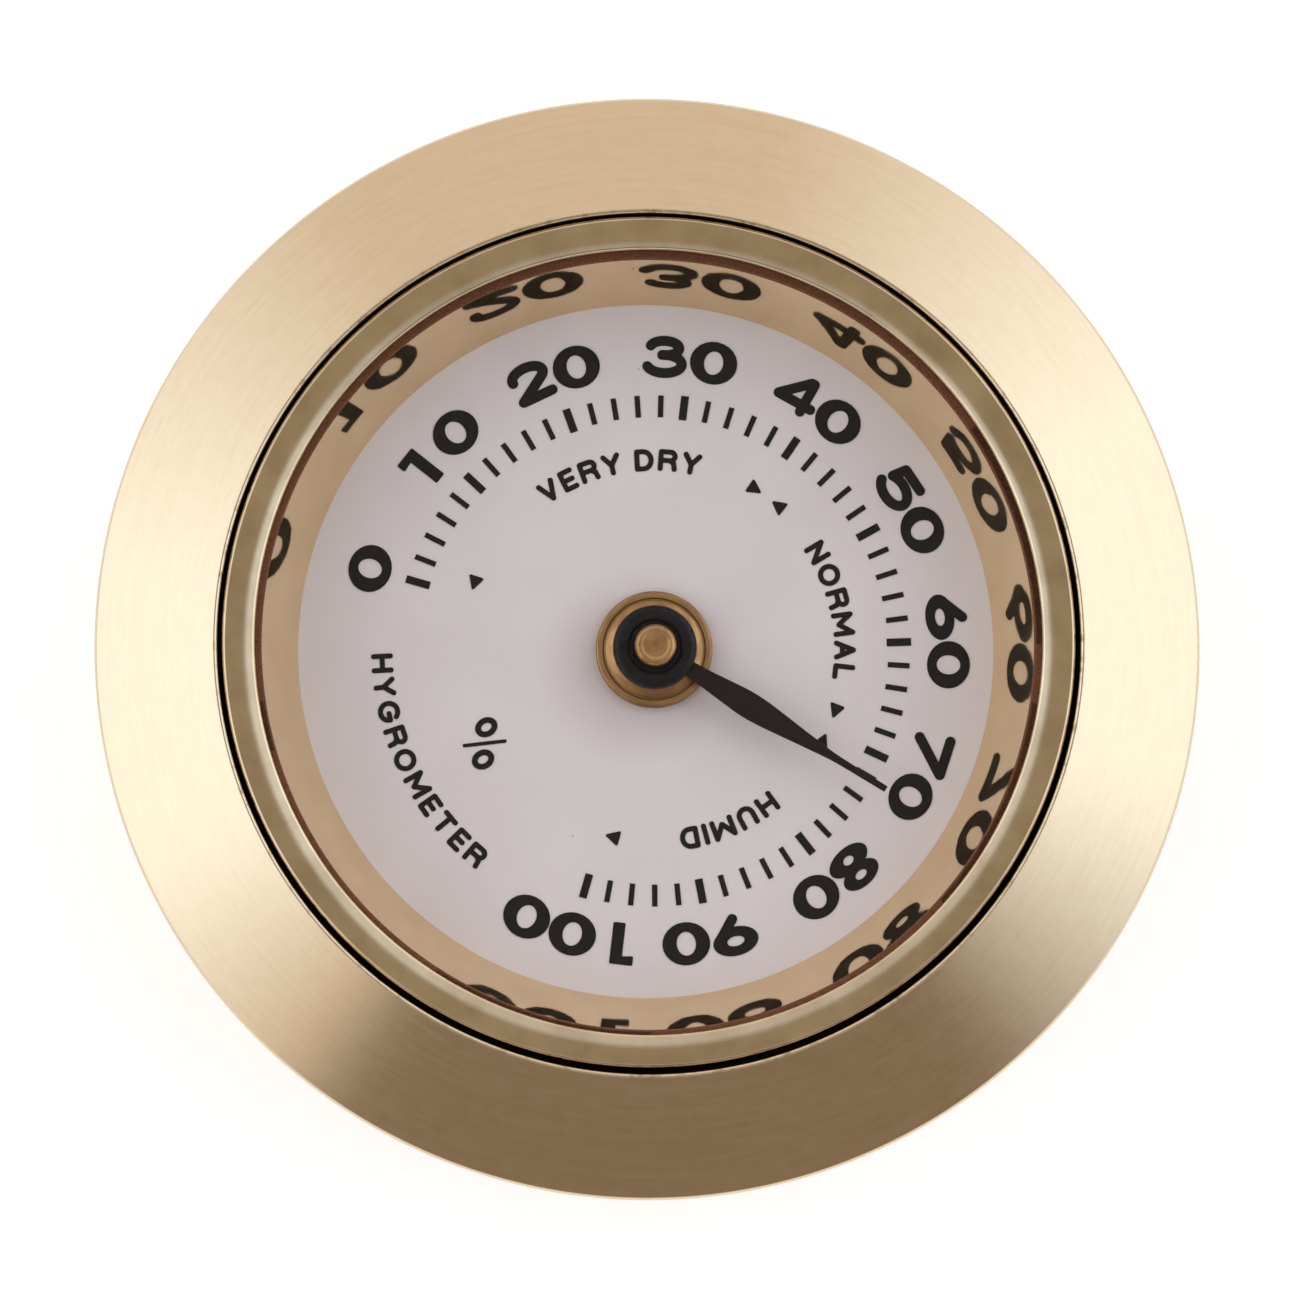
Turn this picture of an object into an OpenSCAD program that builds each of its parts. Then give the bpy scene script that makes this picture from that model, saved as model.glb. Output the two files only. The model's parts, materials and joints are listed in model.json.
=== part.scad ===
// Panel-mount dial hygrometer: a crimped brass cartridge held in a conical bezel ring.
// Millimetres. The origin is the centre of the flange's seat plane. +Z points out of the
// dial and +Y to twelve o'clock, so the barrel lies below Z = 0.

/* [Bezel ring] */
// Outer diameter of the flange
flange_d = 45; // [43:0.5:50]
// Outer diameter of the barrel, which enters the panel's hole
barrel_d = 37; // [36.8:0.1:38]
// Depth of the barrel behind the flange's seat
barrel_depth = 9.5; // [9.5:0.1:14]
// Wall of the barrel
barrel_wall = 1.05; // [0.7:0.05:1.1]
// Thickness of the flange at its rim
rim_t = 0.7; // [0.5:0.1:1.2]
// Height of the flange's inner edge above the seat
flange_rise = 2.9; // [2.4:0.1:3.4]

/* [Cartridge] */
// Wall of the cup and of its floor
case_wall = 0.4; // [0.3:0.05:0.5]
// Width of the lip that holds the glass
bead_w = 1.35; // [1.15:0.05:1.4]
// Distance from the ring's axis up to the cartridge's
seat_y = 0.08; // [0:0.02:0.1]
// Thickness of the glass
lens_t = 0.6; // [0.4:0.05:0.8]
// Depth of the dial's face below the seat
dial_depth = 2.6; // [2.4:0.1:2.8]
// Diameter of the dial that shows inside the reflector
dial_view_d = 28.6; // [28.2:0.1:28.8]
// Number of vent holes in the case's floor
vents = 10; // [6:1:12]

/* [Scale] */
// Radius of the circle through the middle of the ticks
tick_r = 10.1; // [9.6:0.05:10.2]
// Length of a tick
tick_len = 0.9; // [0.6:0.05:1]
// Radius of the circle through the middle of the numerals
numeral_r = 12.15; // [11.9:0.05:12.3]
// Height of the numerals
numeral_h = 1.78; // [1.4:0.02:1.8]
// Height of the letters
letter_h = 0.92; // [0.7:0.02:1]
// Angle over which the scale runs, 0 to 100 %
sweep = 270; // [240:5:280]
// Distance from the case's axis to the dial's centre, on the right
axis_x = 0.32; // [0:0.02:0.4]

/* [Pointer] */
// Relative humidity that the pointer shows, in %
reading = 72.65; // [0:0.05:100]
// Length of the pointer from the arbor's axis to its tip
pointer_len = 11.1; // [10:0.1:11.4]
// Thickness of the pointer's plate
pointer_t = 0.2; // [0.15:0.01:0.25]

/* [Movement] */
// Radius of the arbor
arbor_r = 0.5; // [0.4:0.05:0.6]
// Height of the coiled strip
strip_h = 3; // [2:0.1:3]
// Number of half turns in the coil
half_turns = 11; // [7:2:13]
// Distance between two turns of the coil
coil_pitch = 1.4; // [1.1:0.1:1.5]

/* [Hidden] */

$fn = 96;
eps = 0.01;

// Radii, from the outside in
flange_r = flange_d / 2;
barrel_r = barrel_d / 2;
bore_r = barrel_r - barrel_wall;
edge = 0.15;
lip_t = 0.4;
lip_r = bore_r - 1.2;
band_gap = 0.15;
band_clear = 0.02;
case_r = bore_r - band_gap;
case_in = case_r - case_wall;
stack_r = case_in - 0.1;
rest_w = 1;
reflector_top_r = stack_r - rest_w;
dial_view_r = dial_view_d / 2;

// Heights, from the glass down to the case's floor
bead_top = 2.6;
lens_top = bead_top - 0.9;
lens_z = lens_top - lens_t;
gasket_t = 0.25;
gasket_lip = 0.12;
gasket_z = lens_z - gasket_t;
dial_z = -dial_depth;
dial_t = 0.5;
dial_back = dial_z - dial_t;
case_back = lip_t - barrel_depth;
case_floor = case_back + case_wall;

// Fits: a shaft running in its hole, flat faces that slide, and parts pressed together
run = 0.05;
slide = 0.02;
press = 0.01;

// Front bearing
bush_r = 1.5;
collar_r = 2.4;
collar_h = 0.8;
stake_t = 0.4;
stake_r = 2.1;
bush_end = dial_back - 2 * stake_t;

// Rear adjuster
hub_r = 1.6;
head_r = 2.4;
head_t = 0.35;
slot_w = 0.6;
slot_depth = 0.6;
washer_t = 0.25;
washer_r = 3.4;
arm_z = case_floor + washer_t;
arm_t = 0.3;
arm_w = 1.6;
arm_ring_r = 2.8;
hub_top = arm_z + arm_t + 0.25;
pivot_r = arbor_r - 0.2;

// Coil: half circles about two centres, half a pitch apart
strip_t = 0.15;
film_t = 0.12;
bond = 0.02;
coil_r = 1.9;
coil_z = hub_top + 0.6;
collet_r = 1.3;
coil_end_r = coil_r + (half_turns - 1) * coil_pitch / 2 + strip_t + bond + film_t;
post_r = 0.5;
post_x = coil_end_r + bond + post_r;

// Pointer stack
hub_ring_r = 1.72;
eye_r = 1;
pointer_z = dial_z + 1.25;
hub_foot = pointer_z - 0.25;
hub_ring_top = dial_z + 1.9;
cap_r = 0.85;
cap_top = dial_z + 2.85;
arbor_top = hub_ring_top + 0.4;

// Scale
scale_start = 164;
divisions = 50;
majors = 5;
ink = 0.03;
tick_w = 0.22;
major_w = 0.32;
pen_digit = 0.42;
pen_letter = 0.21;
digit_pitch = 2;
letter_gap = 0.19;
word_r = 7.87;
title_r = 11.18;
hair = 0.02;
marker_len = 0.64;
marker_w = 0.68;

brass = [0.83, 0.69, 0.47];
polished = [0.78, 0.64, 0.46];
steel = [0.7, 0.7, 0.72];
black = [0.09, 0.08, 0.09];

function scale_angle(percent) = scale_start - sweep * percent / 100;
pointer_angle = scale_angle(reading);

// Points along an elliptic arc, about every fifteen degrees
function arc(c, rx, ry, a0, a1) =
    let (n = max(2, ceil(abs(a1 - a0) / 15)))
    [for (i = [0:n]) let (a = a0 + (a1 - a0) * i / n) c + [rx * cos(a), ry * sin(a)]];

// Smooth curve through points, with steps pieces between two of them
function spline(p, steps) = [
    for (i = [0:len(p) - 2], k = [0:steps - 1])
        let (
            a = p[max(i - 1, 0)],
            b = p[i],
            c = p[i + 1],
            d = p[min(i + 2, len(p) - 1)],
            t = k / steps
        )
        b + t * (c - a) / 2 + t * t * (a - 2.5 * b + 2 * c - d / 2)
            + t * t * t * (1.5 * (b - c) + (d - a) / 2),
    p[len(p) - 1]];

// Puts a part on the cartridge's axis, which is a little above the ring's
module in_cartridge() {
    translate([0, seat_y, 0])
        children();
}

// Puts a part of the dial or of the movement on the arbor's axis
module on_axis() {
    translate([axis_x, seat_y, 0])
        children();
}

// A ring of rectangular section
module band(r_in, r_out, z, h) {
    translate([0, 0, z])
        rotate_extrude()
            translate([r_in, 0])
                square([r_out - r_in, h]);
}

// ---- Ring and cartridge

module bezel() {
    color(brass)
        rotate_extrude()
            polygon([
                [lip_r, -barrel_depth],
                [barrel_r - 2 * edge, -barrel_depth],
                [barrel_r, 2 * edge - barrel_depth],
                [barrel_r, 0],
                [flange_r - edge, 0],
                [flange_r, edge],
                [flange_r, rim_t - edge],
                [flange_r - edge, rim_t],
                [bore_r + edge, flange_rise],
                [bore_r, flange_rise - edge],
                [bore_r, case_back],
                [lip_r, case_back]]);
}

module friction_band() {
    band_foot = case_back + 0.3;
    band_top = 0.6;
    color(black)
        translate([0, 0, band_foot])
            difference() {
                cylinder(r = bore_r - band_clear, h = band_top - band_foot);
                translate([0, seat_y, -eps])
                    cylinder(r = case_r + band_clear, h = band_top - band_foot + 2 * eps);
            }
}

// The lip is crowned on top, with a tight shoulder on the outside
module lip_profile() {
    crown_r = 3.1;
    shoulder_r = 0.2;
    lip_h = bead_top - lens_top;
    intersection() {
        translate([case_r - shoulder_r, bead_top - crown_r])
            circle(r = crown_r);
        union() {
            translate([case_r - bead_w, lens_top])
                square([bead_w - shoulder_r, lip_h]);
            translate([case_r - bead_w, lens_top])
                square([bead_w, lip_h - shoulder_r]);
            translate([case_r - shoulder_r, bead_top - shoulder_r])
                circle(r = shoulder_r);
        }
    }
}

module case_profile() {
    lip_profile();
    translate([case_in, case_back])
        square([case_wall, lens_top + eps - case_back]);
    translate([0, case_back])
        square([case_r, case_wall]);
}

module case() {
    vent_r = 1.2;
    vent_ring_r = 10.2;
    color(brass)
        difference() {
            rotate_extrude()
                case_profile();
            translate([axis_x, 0, case_back - eps])
                cylinder(r = hub_r + run, h = case_wall + 2 * eps);
            for (i = [0:vents - 1])
                rotate(360 * i / vents)
                    translate([vent_ring_r, 0, case_back - eps])
                        cylinder(r = vent_r, h = case_wall + 2 * eps, $fn = 32);
        }
}

module lens() {
    color([0.9, 0.94, 0.95, 0.35])
        translate([0, 0, lens_z])
            cylinder(r = stack_r, h = lens_t);
}

module lens_gasket() {
    color(black)
        band(reflector_top_r - gasket_lip, stack_r, gasket_z, gasket_t);
}

module reflector_ring() {
    color(polished)
        rotate_extrude()
            polygon([
                [dial_view_r, dial_z],
                [stack_r, dial_z],
                [stack_r, gasket_z],
                [reflector_top_r, gasket_z]]);
}

module spacer_ring() {
    spacer_w = 0.9;
    color(black)
        band(stack_r - spacer_w, stack_r, case_floor, dial_back - case_floor);
}

// ---- Dial and its print

module dial() {
    color([0.77, 0.73, 0.72])
        translate([0, 0, dial_back])
            difference() {
                cylinder(r = stack_r, h = dial_t);
                translate([axis_x, 0, -eps])
                    cylinder(r = bush_r + press, h = dial_t + 2 * eps);
            }
}

module printed() {
    color(black)
        translate([0, 0, dial_z])
            linear_extrude(ink)
                children();
}

module scale_ticks() {
    color(black)
        for (i = [0:divisions]) {
            major = i % majors == 0;
            w = major ? major_w : tick_w;
            l = major ? tick_len + tick_w / 2 : tick_len;
            rotate(scale_angle(100 * i / divisions))
                translate([tick_r - l / 2, -w / 2, dial_z])
                    cube([l, w, ink]);
        }
}

// A hairline through points, which pen() thickens
module line(points) {
    for (i = [0:len(points) - 2]) {
        d = points[i + 1] - points[i];
        translate(points[i])
            rotate(atan2(d[1], d[0]))
                translate([0, -hair / 2])
                    square([norm(d), hair]);
    }
}

module pen(width) {
    offset(r = (width - hair) / 2, $fn = 16)
        children();
}

module oval(c, outer, inner) {
    difference() {
        polygon(arc(c, outer[0], outer[1], 0, 345));
        polygon(arc(c, inner[0], inner[1], 0, 345));
    }
}

// Digits are drawn about their middle, 1.78 tall
module digit(n) {
    if (n == 0)
        oval([0, 0], [0.985, 0.89], [0.395, 0.49]);
    if (n == 1) {
        translate([-0.14, -0.86])
            square([0.5, 1.72]);
        polygon([[-0.6, 0.46], [0, 0.52], [0, 0.86], [-0.6, 0.86]]);
    }
    if (n == 2)
        pen(pen_digit)
            line(concat(arc([0, 0.33], 0.68, 0.35, 190, -35), [[-0.6, -0.62], [0.72, -0.6]]));
    if (n == 3)
        pen(pen_digit) {
            line(arc([-0.05, 0.38], 0.6, 0.3, 165, -80));
            line(arc([-0.05, -0.28], 0.73, 0.38, 85, -162));
            line([[-0.15, 0.09], [0.1, 0.09]]);
        }
    if (n == 4)
        pen(pen_digit)
            line([[0.42, -0.58], [0.42, 0.7], [0.3, 0.7], [-0.74, -0.3], [0.76, -0.3]]);
    if (n == 5)
        pen(pen_digit) {
            line(concat([[0.6, 0.66], [-0.44, 0.66]], arc([-0.02, -0.22], 0.72, 0.44, 138, -158)));
        }
    if (n == 6) {
        oval([0, -0.28], [0.95, 0.6], [0.36, 0.2]);
        pen(pen_digit)
            line([[-0.62, -0.1], [0.1, 0.64]]);
    }
    if (n == 7)
        pen(pen_digit)
            line([[-0.72, 0.6], [0.74, 0.66], [-0.46, -0.66]]);
    if (n == 8) {
        oval([0, 0.4], [0.86, 0.49], [0.27, 0.16]);
        oval([0, -0.37], [0.95, 0.52], [0.24, 0.17]);
    }
    if (n == 9)
        rotate(180)
            digit(6);
}

// Takes the points off the corners, as printing does
module soften() {
    offset(r = 0.06, $fn = 16)
        offset(delta = -0.06)
            children();
}

module numeral(value) {
    digits = value < 10 ? [value]
        : value < 100 ? [floor(value / 10), value % 10]
        : [1, 0, 0];
    step = digit_pitch / numeral_r * 180 / PI;
    for (i = [0:len(digits) - 1])
        rotate(scale_angle(value) - 90 + ((len(digits) - 1) / 2 - i) * step)
            translate([0, numeral_r])
                scale(numeral_h / 1.78)
                    soften()
                        digit(digits[i]);
}

module scale_numerals() {
    printed()
        for (value = [0:10:100])
            numeral(value);
}

// Width of a letter, in letter heights
function letter_w(c) =
    c == "I" ? 0.2 : c == " " ? 0.2 : c == "E" || c == "L" ? 0.72
    : c == "O" || c == "G" ? 1 : c == "M" ? 1.06 : 0.86;

// Strokes of a letter in a box from -1 to 1 each way
function letter_lines(c) =
    c == "A" ? [[[-1, -1], [0, 1], [1, -1]], [[-0.6, -0.3], [0.6, -0.3]]]
    : c == "D" ? [concat([[-1, -1], [-1, 1]], arc([-0.1, 0], 1.1, 1, 90, -90), [[-1, -1]])]
    : c == "E" ? [[[1, 1], [-1, 1], [-1, -1], [1, -1]], [[-1, 0], [0.8, 0]]]
    : c == "G" ? [concat(arc([0, 0], 1, 1, 42, 330), [[0.95, -0.05], [0.15, -0.05]])]
    : c == "H" ? [[[-1, -1], [-1, 1]], [[1, -1], [1, 1]], [[-1, 0], [1, 0]]]
    : c == "I" ? [[[0, -1], [0, 1]]]
    : c == "L" ? [[[-1, 1], [-1, -1], [1, -1]]]
    : c == "M" ? [[[-1, -1], [-1, 1], [0, -0.5], [1, 1], [1, -1]]]
    : c == "N" ? [[[-1, -1], [-1, 1], [1, -1], [1, 1]]]
    : c == "O" ? [arc([0, 0], 1, 1, 0, 360)]
    : c == "R" ? [
        concat([[-1, -1], [-1, 1]], arc([0.35, 0.5], 0.65, 0.5, 90, -90), [[-1, 0]]),
        [[0.3, 0], [0.85, -0.3], [1, -1]]]
    : c == "T" ? [[[-1, 1], [1, 1]], [[0, 1], [0, -1]]]
    : c == "U" ? [concat([[-1, 1]], arc([0, -0.2], 1, 0.8, 180, 360), [[1, 1]])]
    : c == "V" ? [[[-1, 1], [0, -1], [1, 1]]]
    : c == "Y" ? [[[-1, 1], [0, -0.1], [1, 1]], [[0, -0.1], [0, -1]]]
    : [];

module letter(c) {
    box = [letter_w(c) * letter_h - pen_letter, letter_h - pen_letter] / 2;
    pen(pen_letter)
        for (points = letter_lines(c))
            line([for (p = points) [p[0] * box[0], p[1] * box[1]]]);
}

// Where the letter i of a word starts along the word, and the word's whole length
function advance(word, i) = i == 0 ? 0
    : advance(word, i - 1) + letter_w(word[i - 1]) * letter_h + letter_gap;
function middle(word, i) = advance(word, i) + letter_w(word[i]) * letter_h / 2;
function length(word) = advance(word, len(word)) - letter_gap;

// A word along a circle. Its letters stand away from the centre, or towards it if inward.
module arc_word(word, r, mid, inward = false) {
    side = inward ? -1 : 1;
    for (i = [0:len(word) - 1])
        if (word[i] != " ")
            rotate(mid - 90 + side * (length(word) / 2 - middle(word, i)) / r * 180 / PI)
                translate([0, r])
                    rotate(inward ? 180 : 0)
                        letter(word[i]);
}

module zone_words() {
    printed() {
        arc_word("VERY DRY", word_r, 101);
        arc_word("NORMAL", word_r, 12.5);
        arc_word("HUMID", word_r, -66.5);
    }
}

// An arrowhead at each end of a zone points away from the zone's word
module zone_markers() {
    zones = [[162, 55.5], [52, -21], [-25.5, -105]];
    printed()
        for (zone = zones, side = [1, -1])
            rotate(side == 1 ? zone[0] : zone[1])
                translate([word_r, 0])
                    rotate(side == 1 ? 0 : 180)
                        soften()
                            polygon([
                                [0, 0],
                                [-marker_w / 2, -marker_len],
                                [marker_w / 2, -marker_len]]);
}

module percent_sign() {
    ring_x = 0.55;
    ring_y = 0.38;
    for (side = [1, -1])
        translate([-side * ring_x, side * ring_y])
            oval([0, 0], [0.4, 0.48], [0.16, 0.23]);
    pen(0.15)
        line([[-0.32, -0.78], [0.32, 0.78]]);
}

module dial_title() {
    sign_r = 7.95;
    sign_angle = 209;
    printed() {
        arc_word("HYGROMETER", title_r, 206, inward = true);
        rotate(sign_angle - 90)
            translate([0, sign_r])
                rotate(180)
                    percent_sign();
    }
}

module dial_bush() {
    color(brass)
        rotate_extrude()
            polygon([
                [arbor_r + run, bush_end],
                [bush_r, bush_end],
                [bush_r, dial_back - stake_t],
                [stake_r, dial_back - stake_t],
                [stake_r, dial_back],
                [bush_r, dial_back],
                [bush_r, dial_z],
                [collar_r, dial_z],
                [collar_r, dial_z + collar_h - edge],
                [collar_r - edge, dial_z + collar_h],
                [arbor_r + run, dial_z + collar_h]]);
}

// ---- Arbor and pointer

module arbor() {
    foot = arm_z;
    color(steel)
        rotate_extrude()
            polygon([
                [0, foot + run],
                [pivot_r, foot + run],
                [pivot_r, hub_top + run],
                [arbor_r, hub_top + run],
                [arbor_r, arbor_top],
                [0, arbor_top]]);
}

module arbor_cap() {
    color(brass)
        difference() {
            rotate_extrude()
                polygon([
                    [0, hub_ring_top],
                    [cap_r, hub_ring_top],
                    [cap_r, cap_top - edge],
                    [cap_r - edge, cap_top],
                    [0, cap_top]]);
            translate([0, 0, hub_ring_top - eps])
                cylinder(r = arbor_r + press, h = arbor_top - hub_ring_top + eps);
        }
}

module pointer() {
    // Distance from the axis and half width there
    lance = spline([
        [1.2, 0.3], [2.4, 0.37], [3.4, 0.465], [4.3, 0.54], [5.1, 0.525],
        [6.2, 0.415], [7.6, 0.26], [8.8, 0.155], [pointer_len, 0.13]], 3);
    color(black)
        translate([0, 0, pointer_z])
            difference() {
                union() {
                    cylinder(r = hub_ring_r, h = pointer_t);
                    rotate(pointer_angle)
                        linear_extrude(pointer_t)
                            polygon(concat(
                                lance,
                                [for (i = [len(lance) - 1:-1:0]) [lance[i][0], -lance[i][1]]]));
                }
                translate([0, 0, -eps])
                    cylinder(r = eye_r, h = pointer_t + 2 * eps);
            }
}

module pointer_hub() {
    foot_r = 1.4;
    color(black)
        rotate_extrude()
            polygon([
                [arbor_r + press, hub_foot],
                [foot_r, hub_foot],
                [foot_r, pointer_z],
                [eye_r - press, pointer_z],
                [eye_r - press, pointer_z + pointer_t],
                [hub_ring_r, pointer_z + pointer_t],
                [hub_ring_r, hub_ring_top - edge],
                [hub_ring_r - edge, hub_ring_top],
                [arbor_r + press, hub_ring_top]]);
}

module coil_collet() {
    color(brass)
        band(arbor_r + press, collet_r, coil_z - 0.2, strip_h + 0.4);
}

// ---- Sensing coil and rear adjuster

// A spiral wall of thickness t, standing off the strip's inner face by out
module spiral(out, t, h) {
    for (i = [0:half_turns - 1])
        translate([i % 2 == 1 ? coil_pitch / 2 : 0, 0, coil_z])
            rotate(180 * i)
                rotate_extrude(angle = 180)
                    translate([coil_r + i * coil_pitch / 2 + out, 0])
                        square([t, h]);
}

module humidity_coil() {
    color([0.72, 0.6, 0.42]) {
        spiral(0, strip_t, strip_h);
        // Tab at the inner end, which reaches the collet
        translate([collet_r + run, -strip_t, coil_z])
            cube([coil_r + strip_t - collet_r - run, strip_t, strip_h]);
    }
}

module moisture_film() {
    margin = 0.1;
    color([0.86, 0.82, 0.7])
        translate([0, 0, margin])
            spiral(strip_t + bond, film_t, strip_h - 2 * margin);
}

module coil_post() {
    color(brass)
        translate([-post_x, 0, arm_z + arm_t])
            cylinder(r = post_r, h = coil_z + strip_h - arm_z - arm_t, $fn = 32);
}

module adjuster_arm() {
    color(steel)
        translate([0, 0, arm_z])
            difference() {
                union() {
                    cylinder(r = arm_ring_r, h = arm_t);
                    translate([-post_x - arm_w / 2, -arm_w / 2, 0])
                        cube([post_x + arm_w / 2, arm_w, arm_t]);
                }
                translate([0, 0, -eps])
                    cylinder(r = hub_r + press, h = arm_t + 2 * eps);
            }
}

module adjuster_hub() {
    color(brass)
        difference() {
            rotate_extrude()
                polygon([
                    [0, case_back - head_t],
                    [head_r - edge, case_back - head_t],
                    [head_r, case_back - head_t + edge],
                    [head_r, case_back - slide],
                    [hub_r, case_back - slide],
                    [hub_r, hub_top],
                    [pivot_r + run, hub_top],
                    [pivot_r + run, arm_z],
                    [0, arm_z]]);
            translate([-head_r - eps, -slot_w / 2, case_back - head_t - eps])
                cube([2 * (head_r + eps), slot_w, slot_depth + eps]);
        }
}

module friction_washer() {
    color(steel)
        band(hub_r + run, washer_r, case_floor, washer_t - slide);
}

bezel();
friction_band();
in_cartridge() case();
in_cartridge() lens();
in_cartridge() lens_gasket();
in_cartridge() reflector_ring();
in_cartridge() dial();
on_axis() scale_ticks();
on_axis() scale_numerals();
on_axis() zone_words();
on_axis() zone_markers();
on_axis() dial_title();
on_axis() dial_bush();
in_cartridge() spacer_ring();
on_axis() arbor();
on_axis() arbor_cap();
on_axis() pointer();
on_axis() pointer_hub();
on_axis() coil_collet();
on_axis() humidity_coil();
on_axis() moisture_film();
on_axis() coil_post();
on_axis() adjuster_arm();
on_axis() adjuster_hub();
on_axis() friction_washer();
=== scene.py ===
import json
import math

import bmesh
import bpy
from mathutils import Matrix, Vector


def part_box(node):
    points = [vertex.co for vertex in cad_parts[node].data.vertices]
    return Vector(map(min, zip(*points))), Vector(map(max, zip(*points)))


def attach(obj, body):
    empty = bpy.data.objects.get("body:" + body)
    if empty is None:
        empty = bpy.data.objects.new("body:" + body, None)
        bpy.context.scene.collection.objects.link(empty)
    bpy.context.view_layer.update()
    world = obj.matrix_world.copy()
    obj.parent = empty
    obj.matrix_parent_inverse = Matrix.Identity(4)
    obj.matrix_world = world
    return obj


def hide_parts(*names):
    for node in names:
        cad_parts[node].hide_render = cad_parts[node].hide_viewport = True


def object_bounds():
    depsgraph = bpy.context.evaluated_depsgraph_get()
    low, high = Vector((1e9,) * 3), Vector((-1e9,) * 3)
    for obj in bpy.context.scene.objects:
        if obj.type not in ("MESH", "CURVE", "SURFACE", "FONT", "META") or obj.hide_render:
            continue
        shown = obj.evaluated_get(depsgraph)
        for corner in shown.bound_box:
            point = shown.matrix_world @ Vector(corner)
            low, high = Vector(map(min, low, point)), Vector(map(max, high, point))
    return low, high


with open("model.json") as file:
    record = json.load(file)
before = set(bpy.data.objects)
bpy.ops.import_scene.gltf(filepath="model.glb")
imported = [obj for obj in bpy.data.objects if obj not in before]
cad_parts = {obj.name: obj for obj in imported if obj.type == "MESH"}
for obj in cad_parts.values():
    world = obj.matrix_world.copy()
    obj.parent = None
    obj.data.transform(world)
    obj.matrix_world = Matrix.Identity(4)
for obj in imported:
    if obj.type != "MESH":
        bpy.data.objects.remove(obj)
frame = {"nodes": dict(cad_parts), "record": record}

# Looks of the panel-mount dial hygrometer. Metres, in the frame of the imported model: +Z out of the dial,
# +Y towards twelve o'clock. Azimuths are degrees clockwise from twelve o'clock, as the dial is read.

MM = 0.001
SEGMENTS = 288
FILLET_STEPS = 6

cad_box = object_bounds()


# ---- Sizes taken from the frame

def span(node):
    """Outer radius, lowest level and highest level of a round CAD node."""
    low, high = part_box(node)
    return (high.x - low.x) / 2, low.z, high.z


def axis(node):
    """Where the axis of a round CAD node crosses the dial."""
    low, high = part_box(node)
    return (low.x + high.x) / 2, (low.y + high.y) / 2


def inner_radius(node):
    """Radius of the hole through a ring."""
    x, y = axis(node)
    return min(math.hypot(v.co.x - x, v.co.y - y) for v in frame["nodes"][node].data.vertices)


RING = axis("bezel")
CARTRIDGE = axis("case")
ARBOR = axis("arbor")
FLANGE_R, BARREL_END, BEZEL_TOP = span("bezel")
LIP_R = inner_radius("bezel")
BARREL_R = frame["record"]["mounts"][0]["dims"]["r_mm"] * MM
BAND_R = span("friction_band")[0]
BORE_R = BAND_R + 0.02 * MM
CASE_R, CASE_BACK, BEAD_TOP = span("case")
STACK_R, LENS_FOOT, LENS_TOP = span("lens")
_, GASKET_FOOT, GASKET_TOP = span("lens_gasket")
GASKET_R = inner_radius("lens_gasket")
_, DIAL_FACE, REFLECTOR_TOP = span("reflector_ring")
DIAL_VIEW_R = inner_radius("reflector_ring")
COLLAR_R, BUSH_END, COLLAR_TOP = span("dial_bush")
HUB_R, HUB_FOOT, HUB_TOP = span("pointer_hub")
CAP_R, CAP_FOOT, CAP_TOP = span("arbor_cap")
ARBOR_R = span("arbor")[0]


# ---- Turned pieces

def round_corner(before, corner, after, radius):
    """Points of the arc that rounds a corner of an outline."""
    if radius == 0:
        return [corner]
    a = (before - corner).normalized()
    b = (after - corner).normalized()
    half = a.angle(b) / 2
    centre = corner + (a + b).normalized() * radius / math.sin(half)
    start = corner + a * radius / math.tan(half) - centre
    end = corner + b * radius / math.tan(half) - centre
    turn = start.angle(end)
    points = []
    for i in range(FILLET_STEPS + 1):
        share = i / FILLET_STEPS
        swung = (start * math.sin((1 - share) * turn) + end * math.sin(share * turn)) / math.sin(turn)
        points.append(centre + swung)
    return points


def outline(corners):
    """Outline through corners (radius, height, fillet), each rounded by its fillet."""
    places = [Vector((r, z)) for r, z, _ in corners]
    points = []
    for i, (_, _, fillet) in enumerate(corners):
        points += round_corner(places[i - 1], places[i], places[(i + 1) % len(places)], fillet)
    return points


def arc(centre, radius, start, end, steps):
    """Points of an arc, with its angles in degrees from the outward direction."""
    angles = [math.radians(start + (end - start) * i / steps) for i in range(steps + 1)]
    return [Vector((centre[0] + radius * math.cos(a), centre[1] + radius * math.sin(a))) for a in angles]


def lathe(profile, centre, closed=True):
    """Mesh of a profile of (radius, height) points turned about a vertical axis."""
    mesh = bmesh.new()
    rings = []
    for r, z in profile:
        count = 1 if r == 0 else SEGMENTS
        turns = [2 * math.pi * k / count for k in range(count)]
        points = [(centre[0] + r * math.cos(t), centre[1] + r * math.sin(t), z) for t in turns]
        rings.append([mesh.verts.new(point) for point in points])
    following = rings[1:] + rings[:1] if closed else rings[1:]
    for low, high in zip(rings, following):
        for k in range(SEGMENTS):
            after = (k + 1) % SEGMENTS
            corners = [
                low[k % len(low)], low[after % len(low)],
                high[after % len(high)], high[k % len(high)]]
            face = list(dict.fromkeys(corners))
            if len(face) > 2:
                mesh.faces.new(face)
    return mesh


def piece(name, mesh, body, slot, *nodes):
    """An object in a slot's material, which rides on a body and stands for CAD nodes."""
    bmesh.ops.recalc_face_normals(mesh, faces=mesh.faces)
    for face in mesh.faces:
        face.smooth = True
    data = bpy.data.meshes.new(name)
    mesh.to_mesh(data)
    mesh.free()
    data.materials.append(MATERIALS[slot])
    made = bpy.data.objects.new(name, data)
    bpy.context.scene.collection.objects.link(made)
    normals = made.modifiers.new("flat faces stay flat", "WEIGHTED_NORMAL")
    normals.keep_sharp = True
    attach(made, body)
    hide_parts(*nodes)
    return made


# ---- Materials

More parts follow.
